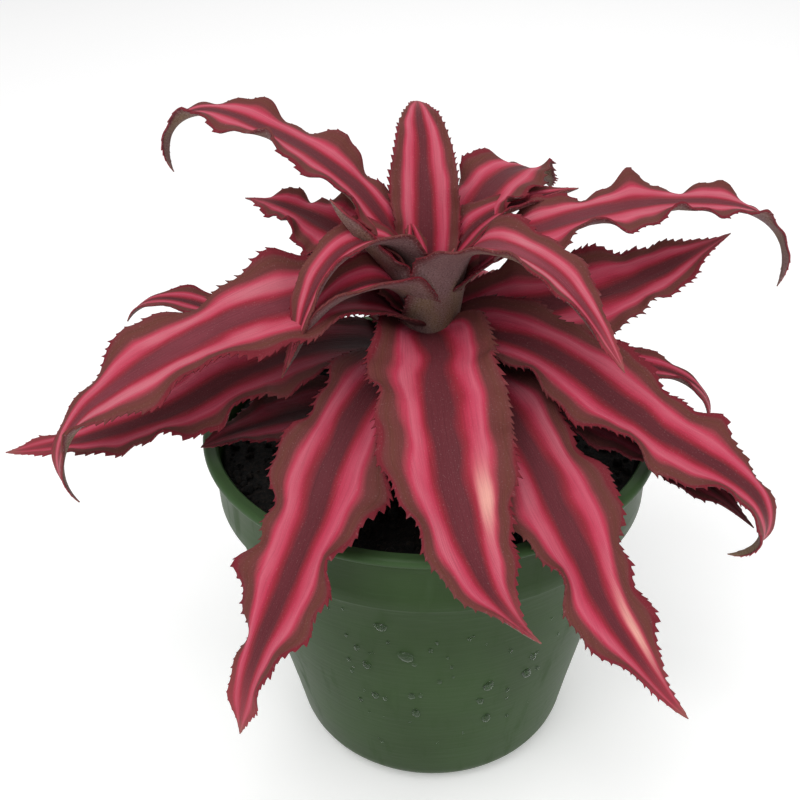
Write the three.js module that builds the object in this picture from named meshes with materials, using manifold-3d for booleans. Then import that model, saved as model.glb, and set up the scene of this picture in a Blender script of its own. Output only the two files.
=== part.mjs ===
// A potted earth star: a small bromeliad whose striped, wavy leaves grow in a rosette on a
// short stem, in a thin round nursery pot filled with soil. Millimetres, +Z up. The origin
// is the centre of the pot's flat bottom, and -Y is the front.

import * as THREE from 'three';
import { ParametricGeometry } from 'three/addons/geometries/ParametricGeometry.js';
import { mergeVertices } from 'three/addons/utils/BufferGeometryUtils.js';
import Module from 'manifold-3d';

const wasm = await Module();
wasm.setup();

const DEGREE = Math.PI / 180;

// The gap that keeps neighbours from touching.
const GAP = 0.3;

// Detail that is too small to keep where one leaf is cut by another, and the distance
// within which a mesh's corners are one.
const SLIVER = 0.03;
const WELD = 1e-3;

// Pot: a tapered thin wall, a straight collar under a rolled lip, and a flat floor.
const POT_HEIGHT = 90;
const POT_RIM_RADIUS = 54;
const POT_COLLAR_RADIUS = 51.8;
const POT_COLLAR_HEIGHT = 16;
const POT_WALL_TOP_RADIUS = 49.8;
const POT_WALL_BOTTOM_RADIUS = 36;
const POT_CORNER_RADIUS = 8;
const POT_WALL = 1.2;
const POT_FLOOR = 2;
const POT_LIP_HEIGHT = 2.4;
const POT_SIDES = 40;
const DRAIN_RADIUS = 4.5;
const DRAIN_CIRCLE_RADIUS = 20;
const DRAIN_COUNT = 4;

// Soil: fills the pot to a little below the rim, with a low mound round the stem. Coarse
// crumbs hold it a little off the floor and its drainage holes.
const SOIL_OFF_FLOOR = 0.6;
const SOIL_TOP = 84;
const SOIL_MOUND = 1.5;

// Stem: short, thick at the soil and thin at the growing tip, between the leaf bases.
const STEM_BOTTOM = 77;
const STEM_TOP = 122.5;
const STEM_FOOT_RADIUS = 5;
const STEM_LOW = 95.5;
const STEM_HIGH = 121.5;
const STEM_LOW_RADIUS = 8;
const STEM_HIGH_RADIUS = 3.5;
const STEM_CLEARANCE = 0.6;

// Leaves: how thick the blades are, and how finely they are divided.
const LEAF_THICKNESS = 1.3;
const LEAF_MARGIN_THINNING = 0.5;
const LEAF_SECTIONS = 18;
const LEAF_SPINE_STEPS = 180;
const LEAF_WIDEST_AT = 0.38;
const BASE_CUP = 0.22;
const BASE_CUP_REACH = 0.3;
const RUFFLE_SHIFT = 0.37;

// Where the corners of a leaf's cross-section lie, from one margin under the blade to the
// other margin and back over it: how far across (-1 to 1) and which side of the blade.
const LEAF_RING = [
  { across: -1, side: -1 },
  { across: 0, side: -1 },
  { across: 1, side: -1 },
  { across: 1, side: 1 },
  { across: 0, side: 1 },
  { across: -1, side: 1 },
];

// What a leaf is like when nothing else is said of it.
const PLAIN_LEAF = {
  turn: [0, 0, 0, 0, 0],
  roll: [0, 0, 0, 0, 0],
  ruffle: { depth: 1.6, waves: 3.5, phase: 0 },
  cup: 0.12,
  fullness: 1.8,
  sheath: 0.7,
};

// Every leaf, from the youngest in the heart of the rosette to the oldest at its foot.
// heading: the compass direction that it grows in, in degrees from +X.
// root: the height on the stem where it starts.
// lift, turn and roll: its slope, its bend sideways and its twist, in degrees, at five even
// steps from root to tip. cup: how hollow its upper side is. fullness: how long it stays
// wide. sheath: the width of its base as a share of its greatest width.
const LEAVES = [
  {
    name: 'leaf_heart_front', heading: 340, root: 121.5, length: 13, width: 6,
    lift: [88, 84, 78, 74, 70], ruffle: { depth: 0, waves: 1, phase: 0 }, cup: 0.08,
  },
  {
    name: 'leaf_heart_rear', heading: 120, root: 121.5, length: 17, width: 8,
    lift: [88, 82, 74, 66, 60], ruffle: { depth: 0, waves: 1, phase: 0 }, cup: 0.08,
  },
  {
    name: 'leaf_young_folded', heading: 30, root: 123.5, length: 44, width: 10,
    lift: [72, 42, 12, 0, 0], ruffle: { depth: 0.6, waves: 2.5, phase: 0 }, cup: 0.25,
  },
  {
    name: 'leaf_young_upright', heading: 205, root: 119.5, length: 35, width: 10,
    lift: [65, 60, 55, 55, 60], ruffle: { depth: 0.6, waves: 2.5, phase: 0 }, cup: 0.25,
  },
  {
    name: 'leaf_young_arching', heading: 212, root: 121.5, length: 57, width: 11,
    lift: [95, 50, -20, -62, -60], turn: [0, 0, 0, 5, 5],
    ruffle: { depth: 0.6, waves: 3, phase: 0 }, cup: 0.28,
  },
  {
    name: 'leaf_young_low', heading: 232, root: 114.5, length: 52, width: 13,
    lift: [85, 50, -15, -55, -60], turn: [0, -10, -35, -40, -30],
    ruffle: { depth: 0.6, waves: 3, phase: 0 }, cup: 0.28,
  },
  {
    name: 'leaf_young_right', heading: 303, root: 110.5, length: 74, width: 17,
    lift: [88, 72, 5, -42, -50], turn: [0, 5, 22, 22, 20],
    ruffle: { depth: 1, waves: 4, phase: 0 }, cup: 0.2, sheath: 1,
  },
  {
    name: 'leaf_rear_upright', heading: 92, root: 121.5, length: 53, width: 15,
    lift: [85, 68, 50, 20, -10], ruffle: { depth: 0.8, waves: 3, phase: 0 }, cup: 0.16,
    sheath: 0.6,
  },
  {
    name: 'leaf_rear_high', heading: 51, root: 118.5, length: 60, width: 22,
    lift: [72, 46, 20, -20, -50], ruffle: { depth: 2.4, waves: 3, phase: 0 }, sheath: 0.5,
  },
  {
    name: 'leaf_left_high', heading: 162, root: 119.5, length: 88, width: 18,
    lift: [88, 52, 27, 0, -115], ruffle: { depth: 1.6, waves: 4.5, phase: 0.3 },
  },
  {
    name: 'leaf_right_high', heading: 8, root: 119.5, length: 101, width: 17,
    lift: [62, 18, 3, -22, -108], roll: [0, 5, 5, 0, 0],
    ruffle: { depth: 2.4, waves: 5, phase: 0.4 },
  },
  {
    name: 'leaf_front', heading: 270, root: 114.5, length: 84, width: 26.5,
    lift: [20, -8, -32, -42, -35], turn: [0, 2, 8, 28, 80], roll: [0, 0, -5, -10, -20],
    sheath: 0.8,
  },
  {
    name: 'leaf_left', heading: 201, root: 115.5, length: 105, width: 21,
    lift: [58, 0, -18, -35, -120], roll: [-10, -25, -20, -8, 0],
    ruffle: { depth: 1.6, waves: 4, phase: 0.3 },
  },
  {
    name: 'leaf_right', heading: 332, root: 112.5, length: 98, width: 22,
    lift: [25, -18, -28, -32, -160], roll: [8, 12, 15, 8, 0],
    ruffle: { depth: 1.6, waves: 4, phase: 0.3 },
  },
  {
    name: 'leaf_left_rear', heading: 155, root: 116.5, length: 50, width: 19,
    lift: [75, 42, 22, 12, 0], roll: [0, -12, -18, -10, 0],
    ruffle: { depth: 2.6, waves: 4, phase: 0 },
  },
  {
    name: 'leaf_right_rear', heading: 12, root: 111.5, length: 70, width: 23,
    lift: [22, 3, 10, 20, 30], roll: [10, 25, 25, 20, 0],
  },
  {
    name: 'leaf_back_left', heading: 122, root: 109.5, length: 60, width: 18,
    lift: [28, 2, -18, -34, -46],
  },
  {
    name: 'leaf_back_right', heading: 63, root: 108.5, length: 60, width: 18,
    lift: [28, 2, -16, -32, -42],
  },
  {
    name: 'leaf_front_left', heading: 243, root: 107.5, length: 104, width: 22,
    lift: [35, -10, -45, -55, -80], turn: [0, 2, -3, -20, -28],
    ruffle: { depth: 2.8, waves: 4, phase: 0.55 }, fullness: 2.6,
  },
  {
    name: 'leaf_back', heading: 90, root: 104.5, length: 60, width: 18,
    lift: [26, 0, -18, -34, -46],
  },
  {
    name: 'leaf_front_right', heading: 300, root: 105.5, length: 96, width: 24,
    lift: [25, -18, -40, -40, -20], turn: [0, 0, 0, 5, 15],
    ruffle: { depth: 2.2, waves: 3.5, phase: 0.1 }, fullness: 1.9,
  },
  {
    name: 'leaf_left_low', heading: 193, root: 106.5, length: 94, width: 22,
    lift: [38, -8, -22, -10, 5], roll: [0, -10, -15, -10, 0],
    ruffle: { depth: 1.8, waves: 4.5, phase: 0 }, fullness: 2,
  },
  {
    name: 'leaf_far_right', heading: 350, root: 101.5, length: 66, width: 13,
    lift: [20, 5, 5, -20, -95], ruffle: { depth: 1.2, waves: 3, phase: 0 },
  },
  {
    name: 'leaf_far_left', heading: 173, root: 104.5, length: 69, width: 12,
    lift: [16, 8, 20, 14, -60], ruffle: { depth: 1.2, waves: 3, phase: 0 }, fullness: 2.6,
  },
  {
    name: 'leaf_right_low', heading: 331, root: 104.5, length: 76, width: 17,
    lift: [8, -8, -17, -25, -38], roll: [0, 5, 8, 8, 0],
  },
  {
    name: 'leaf_back_left_low', heading: 143, root: 98.5, length: 56, width: 16,
    lift: [14, 0, -14, -26, -40],
  },
  {
    name: 'leaf_back_right_low', heading: 38, root: 97.5, length: 58, width: 16,
    lift: [14, 2, -12, -24, -36],
  },
  {
    name: 'leaf_left_under', heading: 197, root: 95.5, length: 47, width: 22,
    lift: [6, 2, -2, -8, -15], ruffle: { depth: 1, waves: 3.5, phase: 0 },
  },
];

// ---------------------------------------------------------------------------
// Closed meshes and solids
// ---------------------------------------------------------------------------

// Merge a geometry's seams and poles, and drop the triangles that collapse there.
function welded(geometry) {
  const plain = new THREE.BufferGeometry();
  plain.setAttribute('position', geometry.getAttribute('position'));
  plain.setIndex(geometry.getIndex());
  const merged = mergeVertices(plain, WELD);
  const index = merged.getIndex().array;
  const kept = [];
  for (let i = 0; i < index.length; i += 3) {
    const [a, b, c] = [index[i], index[i + 1], index[i + 2]];
    if (a !== b && b !== c && c !== a) kept.push(a, b, c);
  }
  merged.setIndex(kept);
  return merged;
}

function toSolid(geometry) {
  const merged = welded(geometry);
  return new wasm.Manifold(new wasm.Mesh({
    numProp: 3,
    vertProperties: new Float32Array(merged.getAttribute('position').array),
    triVerts: new Uint32Array(merged.getIndex().array),
  }));
}

function toGeometry(solid) {
  const mesh = solid.getMesh();
  const geometry = new THREE.BufferGeometry();
  geometry.setAttribute('position', new THREE.BufferAttribute(mesh.vertProperties, 3));
  geometry.setIndex(new THREE.BufferAttribute(mesh.triVerts, 1));
  geometry.computeVertexNormals();
  return geometry;
}

// The biggest of the pieces that a cut left, without its needle-thin triangles.
function largestPiece(solid) {
  const pieces = toSolid(toGeometry(solid.simplify(SLIVER))).decompose();
  return pieces.reduce((best, piece) => (piece.volume() > best.volume() ? piece : best));
}

// A solid turned round the Z axis from an outline of radius and height.
function turned(outline) {
  const upright = new THREE.LatheGeometry(outline, POT_SIDES);
  return toSolid(upright.rotateX(Math.PI / 2));
}

function cylinderAlongZ(radius, height, x, y, z) {
  const cylinder = new THREE.CylinderGeometry(radius, radius, height, 20);
  return toSolid(cylinder.rotateX(Math.PI / 2).translate(x, y, z));
}

// ---------------------------------------------------------------------------
// Pot
// ---------------------------------------------------------------------------

const wallTopHeight = POT_HEIGHT - POT_COLLAR_HEIGHT;
const wallLean = Math.atan2(
  POT_WALL_TOP_RADIUS - POT_WALL_BOTTOM_RADIUS,
  wallTopHeight - POT_CORNER_RADIUS,
);

// The wall's outer radius at a height between the rounded corner and the collar.
function wallRadius(height) {
  const share = (height - POT_CORNER_RADIUS) / (wallTopHeight - POT_CORNER_RADIUS);
  return THREE.MathUtils.lerp(POT_WALL_BOTTOM_RADIUS, POT_WALL_TOP_RADIUS, share);
}

function potOutline() {
  const cornerCentre = POT_WALL_BOTTOM_RADIUS - POT_CORNER_RADIUS;
  const lipCentre = POT_RIM_RADIUS - POT_LIP_HEIGHT / 2;
  const lipMiddle = POT_HEIGHT - POT_LIP_HEIGHT / 2;
  const collarInside = POT_COLLAR_RADIUS - POT_WALL;
  const path = new THREE.Path();
  path.moveTo(0, 0);
  path.lineTo(cornerCentre, 0);
  path.absarc(cornerCentre, POT_CORNER_RADIUS, POT_CORNER_RADIUS, -Math.PI / 2, -wallLean);
  path.lineTo(POT_WALL_TOP_RADIUS, wallTopHeight - 1);
  path.lineTo(POT_COLLAR_RADIUS - 0.4, wallTopHeight);
  path.lineTo(POT_COLLAR_RADIUS, POT_HEIGHT - POT_LIP_HEIGHT - 1);
  path.absarc(lipCentre, lipMiddle, POT_LIP_HEIGHT / 2, -Math.PI / 2, Math.PI / 2);
  path.lineTo(collarInside + 0.6, POT_HEIGHT);
  path.lineTo(collarInside, POT_HEIGHT - 1);
  path.lineTo(collarInside - 0.4, wallTopHeight + 0.6);
  path.lineTo(POT_WALL_TOP_RADIUS - POT_WALL, wallTopHeight - 1);
  path.lineTo(wallRadius(POT_CORNER_RADIUS) - POT_WALL, POT_CORNER_RADIUS);
  path.lineTo(cornerCentre + 1, POT_FLOOR);
  path.lineTo(0, POT_FLOOR);
  return path.getPoints(3);
}

function makePot() {
  const shell = turned(potOutline());
  let pot = shell;
  for (let hole = 0; hole < DRAIN_COUNT; hole += 1) {
    const angle = (hole + 0.5) * 2 * Math.PI / DRAIN_COUNT;
    const x = DRAIN_CIRCLE_RADIUS * Math.cos(angle);
    const y = DRAIN_CIRCLE_RADIUS * Math.sin(angle);
    pot = pot.subtract(cylinderAlongZ(DRAIN_RADIUS, 4 * POT_FLOOR, x, y, 0));
  }
  return pot;
}

// ---------------------------------------------------------------------------
// Stem and soil
// ---------------------------------------------------------------------------

// The radius at which the leaf bases sit on the stem at a height.
function rootRadius(height) {
  const share = THREE.MathUtils.clamp((height - STEM_LOW) / (STEM_HIGH - STEM_LOW), 0, 1);
  return THREE.MathUtils.lerp(STEM_LOW_RADIUS, STEM_HIGH_RADIUS, share);
}

function makeStem(grow = 0) {
  const outline = [
    new THREE.Vector2(0, STEM_BOTTOM - grow),
    new THREE.Vector2(STEM_FOOT_RADIUS + grow, STEM_BOTTOM - grow),
    new THREE.Vector2(STEM_LOW_RADIUS - STEM_CLEARANCE + grow, STEM_LOW - 6),
    new THREE.Vector2(STEM_LOW_RADIUS - STEM_CLEARANCE + grow, STEM_LOW),
    new THREE.Vector2(STEM_HIGH_RADIUS - STEM_CLEARANCE + grow, STEM_HIGH),
    new THREE.Vector2(1.5 + grow, STEM_TOP + grow),
    new THREE.Vector2(0, STEM_TOP + grow),
  ];
  return turned(outline);
}

function makeSoil() {
  const bottom = POT_FLOOR + SOIL_OFF_FLOOR;
  const cornerInside = wallRadius(POT_CORNER_RADIUS) - POT_WALL - GAP;
  const wallInside = POT_WALL_TOP_RADIUS - POT_WALL - GAP;
  const outline = [
    new THREE.Vector2(0, bottom),
    new THREE.Vector2(POT_WALL_BOTTOM_RADIUS - POT_CORNER_RADIUS, bottom),
    new THREE.Vector2(cornerInside - 0.2, POT_CORNER_RADIUS),
    new THREE.Vector2(wallInside, wallTopHeight - 1),
    new THREE.Vector2(POT_COLLAR_RADIUS - POT_WALL - 1, wallTopHeight + 1.6),
    new THREE.Vector2(POT_COLLAR_RADIUS - POT_WALL - 1, SOIL_TOP - 1),
    new THREE.Vector2(POT_COLLAR_RADIUS - POT_WALL - 3, SOIL_TOP),
    new THREE.Vector2(20, SOIL_TOP + SOIL_MOUND / 2),
    new THREE.Vector2(8, SOIL_TOP + SOIL_MOUND),
    new THREE.Vector2(0, SOIL_TOP + SOIL_MOUND),
  ];
  return turned(outline).subtract(makeStem(GAP));
}

// ---------------------------------------------------------------------------
// Leaves
// ---------------------------------------------------------------------------

// The value at a share of the way along five even steps, on a smooth curve through them.
function along(values, share) {
  const last = values.length - 1;
  const place = Math.min(share * last, last - 1e-9);
  const step = Math.floor(place);
  const t = place - step;
  const p1 = values[step];
  const p2 = values[step + 1];
  const p0 = step > 0 ? values[step - 1] : 2 * p1 - p2;
  const p3 = step + 2 <= last ? values[step + 2] : 2 * p2 - p1;
  const bend = 2 * p0 - 5 * p1 + 4 * p2 - p3;
  const twist = 3 * p1 - p0 - 3 * p2 + p3;
  return 0.5 * (2 * p1 + (p2 - p0) * t + bend * t * t + twist * t * t * t);
}

// The blade's directions at a share of its length: onward, across and out of its top side.
function bladeFrame(leaf, share) {
  const slope = along(leaf.lift, share) * DEGREE;
  const course = (leaf.heading + along(leaf.turn, share)) * DEGREE;
  const twist = along(leaf.roll, share) * DEGREE;
  const onward = new THREE.Vector3(
    Math.cos(slope) * Math.cos(course),
    Math.cos(slope) * Math.sin(course),
    Math.sin(slope),
  );
  const level = new THREE.Vector3(-Math.sin(course), Math.cos(course), 0);
  const upward = new THREE.Vector3().crossVectors(onward, level);
  const across = level.clone().multiplyScalar(Math.cos(twist))
    .addScaledVector(upward, Math.sin(twist));
  const out = new THREE.Vector3().crossVectors(onward, across);
  return { onward, across, out };
}

// The points of the leaf's midrib, stepped along its slope and course from the stem.
function midrib(leaf) {
  const course = leaf.heading * DEGREE;
  const radius = rootRadius(leaf.root);
  const point = new THREE.Vector3(
    radius * Math.cos(course),
    radius * Math.sin(course),
    leaf.root,
  );
  const points = [point.clone()];
  for (let step = 0; step < LEAF_SPINE_STEPS; step += 1) {
    const { onward } = bladeFrame(leaf, (step + 0.5) / LEAF_SPINE_STEPS);
    point.addScaledVector(onward, leaf.length / LEAF_SPINE_STEPS);
    points.push(point.clone());
  }
  return points;
}

// Half the blade's width at a share of its length: a broad sheath, then the widest part,
// then a long taper to the point.
function halfWidth(leaf, share) {
  const rise = Math.sin(Math.min(share / LEAF_WIDEST_AT, 1) * Math.PI / 2);
  const past = Math.max((share - LEAF_WIDEST_AT) / (1 - LEAF_WIDEST_AT), 0);
  const swell = leaf.sheath + (1 - leaf.sheath) * rise;
  return 0.5 * leaf.width * swell * (1 - past ** leaf.fullness);
}

// How far a point across the blade stands out of its middle, from the hollow of its upper
// side and from the waves of its margins.
function standOut(leaf, share, across) {
  const nearBase = Math.max(1 - share / BASE_CUP_REACH, 0);
  const cup = leaf.cup + BASE_CUP * nearBase ** 2;
  const hollow = cup * 2 * halfWidth(leaf, share) * across ** 2;
  const { depth, waves, phase } = leaf.ruffle;
  const start = Math.sin(Math.min(share / 0.25, 1) * Math.PI / 2);
  const fade = Math.min((1 - share) / 0.3, 1);
  const shift = across < 0 ? phase : phase + RUFFLE_SHIFT;
  const wave = Math.sin(2 * Math.PI * (waves * share + shift));
  return hollow + depth * start * fade * Math.abs(across) ** 2.5 * wave;
}

// One leaf as a solid. Its skin is a ring of corners carried from the root to the tip, with
// the first ring drawn in to a point to close the base. grow makes it that much bigger.
function makeLeaf(leaf, grow = 0) {
  const spine = midrib(leaf);
  const sections = leaf.length < 20 ? LEAF_SECTIONS / 2 : LEAF_SECTIONS;
  const skin = (aroundShare, alongShare, target) => {
    const corner = LEAF_RING[Math.round(aroundShare * LEAF_RING.length) % LEAF_RING.length];
    const section = Math.round(alongShare * (sections + 1)) - 1;
    const share = Math.max(section, 0) / sections;
    const { onward, across, out } = bladeFrame(leaf, share);
    const open = section < 0 ? 0 : 1;
    const overrun = Number(share === 1) - Number(share === 0);
    const taper = Math.min((1 - share) / 0.1, 1);
    const thin = 1 - LEAF_MARGIN_THINNING * corner.across ** 2;
    const thick = (0.5 * LEAF_THICKNESS * thin * taper + (share < 1 ? grow : 0)) * corner.side;
    const half = halfWidth(leaf, share);
    const wider = share < 1 ? 1 + grow / half : 1;
    const place = corner.across * wider;
    target.copy(spine[Math.round(share * LEAF_SPINE_STEPS)]);
    target.addScaledVector(onward, overrun * grow);
    target.addScaledVector(across, open * place * half);
    target.addScaledVector(out, open * (standOut(leaf, share, place) + thick));
  };
  return toSolid(new ParametricGeometry(skin, LEAF_RING.length, sections + 1));
}

// ---------------------------------------------------------------------------
// Assembly
// ---------------------------------------------------------------------------

const POT_GREEN = new THREE.MeshStandardMaterial({ color: 0x42613f, roughness: 0.5 });
const SOIL_BLACK = new THREE.MeshStandardMaterial({ color: 0x14161a, roughness: 0.95 });
const STEM_BROWN = new THREE.MeshStandardMaterial({ color: 0x6b5a4a, roughness: 0.8 });
const LEAF_PINK = new THREE.MeshStandardMaterial({ color: 0xb5405f, roughness: 0.55 });

function named(name, solid, material) {
  const mesh = new THREE.Mesh(toGeometry(solid), material);
  mesh.name = name;
  return mesh;
}

const plant = new THREE.Group();
const pot = makePot();
plant.add(named('pot', pot, POT_GREEN));
plant.add(named('soil', makeSoil(), SOIL_BLACK));
plant.add(named('stem', makeStem(), STEM_BROWN));

// Younger leaves keep their whole bases, and an older one is cut where it would run into
// them, as sheaths that grew pressed together are shaped by each other.
let taken = makeStem(GAP);
for (const shape of LEAVES) {
  const leaf = { ...PLAIN_LEAF, ...shape };
  const blade = largestPiece(makeLeaf(leaf).subtract(taken));
  plant.add(named(leaf.name, blade, LEAF_PINK));
  taken = taken.add(makeLeaf(leaf, GAP));
}

export default plant;
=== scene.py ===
"""Looks of a potted earth star: a striped, toothed bromeliad in a green nursery pot.

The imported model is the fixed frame. The pot, the soil, the stem and every leaf get a
detailed piece that stands for their plain solid, and the pot's front carries some drops of
water. Metres, +Z up, and -Y is the front. Sizes in millimetres carry MM.
"""

import logging
import math
import random
from dataclasses import dataclass
from enum import Enum
from typing import Any, Sequence

import bpy
import numpy as np
from mathutils import Matrix, Vector


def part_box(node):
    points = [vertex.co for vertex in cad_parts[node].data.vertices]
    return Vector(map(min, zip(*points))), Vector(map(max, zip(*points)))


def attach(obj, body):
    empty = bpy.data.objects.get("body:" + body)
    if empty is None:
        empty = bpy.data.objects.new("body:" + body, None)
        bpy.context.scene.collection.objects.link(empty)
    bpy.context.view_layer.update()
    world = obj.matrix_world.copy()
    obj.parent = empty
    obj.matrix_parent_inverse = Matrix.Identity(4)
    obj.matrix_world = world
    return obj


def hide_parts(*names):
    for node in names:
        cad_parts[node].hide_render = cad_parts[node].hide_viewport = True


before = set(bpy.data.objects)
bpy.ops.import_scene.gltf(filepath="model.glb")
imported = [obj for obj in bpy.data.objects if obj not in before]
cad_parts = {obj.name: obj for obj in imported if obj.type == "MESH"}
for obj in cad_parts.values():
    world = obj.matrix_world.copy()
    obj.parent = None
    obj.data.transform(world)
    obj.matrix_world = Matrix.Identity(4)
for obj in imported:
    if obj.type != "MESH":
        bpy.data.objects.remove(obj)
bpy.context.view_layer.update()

MM = 0.001
BODY = "root"
LEVEL = (0.0, 0.0, 0.0, 0.0, 0.0)

Colour = tuple[float, float, float, float]
Steps = tuple[float, float, float, float, float]

log = logging.getLogger("earth_star")


class Slot(Enum):
    """The record's material slots."""

    POT = "pot"
    SOIL = "soil"
    STEM = "stem"
    LEAF = "leaf"


def shade(red: int, green: int, blue: int) -> Colour:
    """Turn a screen colour into the linear colour that a shader takes.

    Args:
        red: Red from 0 to 255.
        green: Green from 0 to 255.
        blue: Blue from 0 to 255.

    Returns:
        The linear colour with full alpha.
    """
    linear = []
    for level in (red, green, blue):
        share = level / 255
        low = share / 12.92
        high = ((share + 0.055) / 1.055) ** 2.4
        linear.append(low if share <= 0.04045 else high)
    return (linear[0], linear[1], linear[2], 1.0)


# ---------------------------------------------------------------------------
# Shader maths
# ---------------------------------------------------------------------------


class Signal:
    """A socket whose value varies over a surface, which Python maths can be written on."""

    def __init__(self, bench: "Bench", socket: bpy.types.NodeSocket) -> None:
        """Wrap a socket of a bench's node tree."""
        self.bench = bench
        self.socket = socket

    def _with(self, operation: str, first: Any, second: Any = 0.0) -> "Signal":
        """Add one Math node."""
        return self.bench.node("ShaderNodeMath", {"operation": operation}, {0: first, 1: second})

    def __add__(self, other: Any) -> "Signal":
        """Add."""
        return self._with("ADD", self, other)

    def __sub__(self, other: Any) -> "Signal":
        """Take away."""
        return self._with("SUBTRACT", self, other)

    def __rsub__(self, other: Any) -> "Signal":
        """Be taken away from a number."""
        return self._with("SUBTRACT", other, self)

    def __mul__(self, other: Any) -> "Signal":
        """Multiply."""
        return self._with("MULTIPLY", self, other)

    __radd__ = __add__
    __rmul__ = __mul__

    def __abs__(self) -> "Signal":
        """Drop the sign."""
        return self._with("ABSOLUTE", self)

    def rise(self, low: float, high: float) -> "Signal":
        """Go smoothly from 0 at low to 1 at high.

        Args:
            low: The value where the result leaves 0.
            high: The value where the result reaches 1.

        Returns:
            The smooth step.
        """
        return self.bench.node(
            "ShaderNodeMapRange", {"interpolation_type": "SMOOTHSTEP"}, {0: self, 1: low, 2: high}
        )


class Bench:
    """The node tree of one material, and the ways that nodes are added to it."""

    def __init__(self, name: str) -> None:
        """Start a material.

        Args:
            name: The material's name.
        """
        self.material = bpy.data.materials.new(name)
        self.material.use_nodes = True
        self.tree = self.material.node_tree
        self.shader = self.tree.nodes["Principled BSDF"]

    def node(
        self,
        kind: str,
        settings: dict[str, Any],
        sockets: dict[Any, Any],
        outlet: Any = 0,
    ) -> Signal:
        """Add a node.

        Args:
            kind: The node's type.
            settings: Its settings, and under "stops" a ramp's places and colours.
            sockets: Values or links for its input sockets.
            outlet: Which output to give back.

        Returns:
            The output, as a signal.
        """
        added = self.tree.nodes.new(kind)
        for key, value in settings.items():
            if key == "stops":
                self._set_stops(added.color_ramp, value)
            else:
                setattr(added, key, value)
        for key, value in sockets.items():
            self._feed(added.inputs[key], value)
        return Signal(self, added.outputs[outlet])

    def _set_stops(self, ramp: bpy.types.ColorRamp, stops: Sequence[tuple[float, Colour]]) -> None:
        """Give a ramp its stops.

        Args:
            ramp: The ramp.
            stops: Each stop's place from 0 to 1 and its colour.
        """
        while len(ramp.elements) < len(stops):
            ramp.elements.new(1.0)
        for element, (place, colour) in zip(ramp.elements, stops):
            element.position = place
            element.color = colour

    def _feed(self, socket: bpy.types.NodeSocket, value: Any) -> None:
        """Link a signal to a socket, or set its value.

        Args:
            socket: The input socket.
            value: A signal or a plain value.
        """
        if isinstance(value, Signal):
            self.tree.links.new(value.socket, socket)
        else:
            socket.default_value = value

    def ramp(self, value: Signal, stops: Sequence[tuple[float, Colour]]) -> Signal:
        """Turn a number into a colour."""
        return self.node("ShaderNodeValToRGB", {"stops": stops}, {0: value})

    def mix(self, share: Any, first: Any, second: Any) -> Signal:
        """Mix two colours."""
        return self.node(
            "ShaderNodeMix", {"data_type": "RGBA"}, {0: share, 6: first, 7: second}, outlet=2
        )

    def attribute(self, name: str) -> Signal:
        """Read a vector that the mesh holds at its points."""
        return self.node("ShaderNodeAttribute", {"attribute_name": name}, {}, outlet="Vector")

    def place(self) -> Signal:
        """Read where the surface is."""
        return self.node("ShaderNodeTexCoord", {}, {}, outlet="Object")

    def parts(self, vector: Signal) -> tuple[Signal, Signal, Signal]:
        """Split a vector into its three numbers."""
        split = self.node("ShaderNodeSeparateXYZ", {}, {0: vector}).socket.node
        return tuple(Signal(self, outlet) for outlet in split.outputs)

    def stretched(self, vector: Signal, factors: tuple[float, float, float]) -> Signal:
        """Scale a vector by its own factor along each axis."""
        return self.node(
            "ShaderNodeVectorMath", {"operation": "MULTIPLY"}, {0: vector, 1: factors}
        )

    def noise(self, vector: Signal, scale: float, detail: float = 2.0) -> Signal:
        """Add soft noise, about 0.5 on average."""
        return self.node(
            "ShaderNodeTexNoise", {}, {"Vector": vector, "Scale": scale, "Detail": detail}
        )

    def finish(
        self,
        colour: Any,
        roughness: Any,
        height: Signal | None = None,
        depth: float = 0.0,
        **fixed: Any,
    ) -> bpy.types.Material:
        """Feed the shader and give the material back.

        Args:
            colour: The base colour.
            roughness: The roughness.
            height: What raises the surface, or None.
            depth: How far a height of 1 raises it, in metres.
            **fixed: Other shader sockets, with spaces as underscores.

        Returns:
            The finished material.
        """
        self._feed(self.shader.inputs["Base Color"], colour)
        self._feed(self.shader.inputs["Roughness"], roughness)
        if height is not None:
            bump = self.node("ShaderNodeBump", {}, {"Height": height, "Distance": depth})
            self._feed(self.shader.inputs["Normal"], bump)
        for name, value in fixed.items():
            self.shader.inputs[name.replace("_", " ")].default_value = value
        return self.material


# ---------------------------------------------------------------------------
# Finishes
# ---------------------------------------------------------------------------


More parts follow.
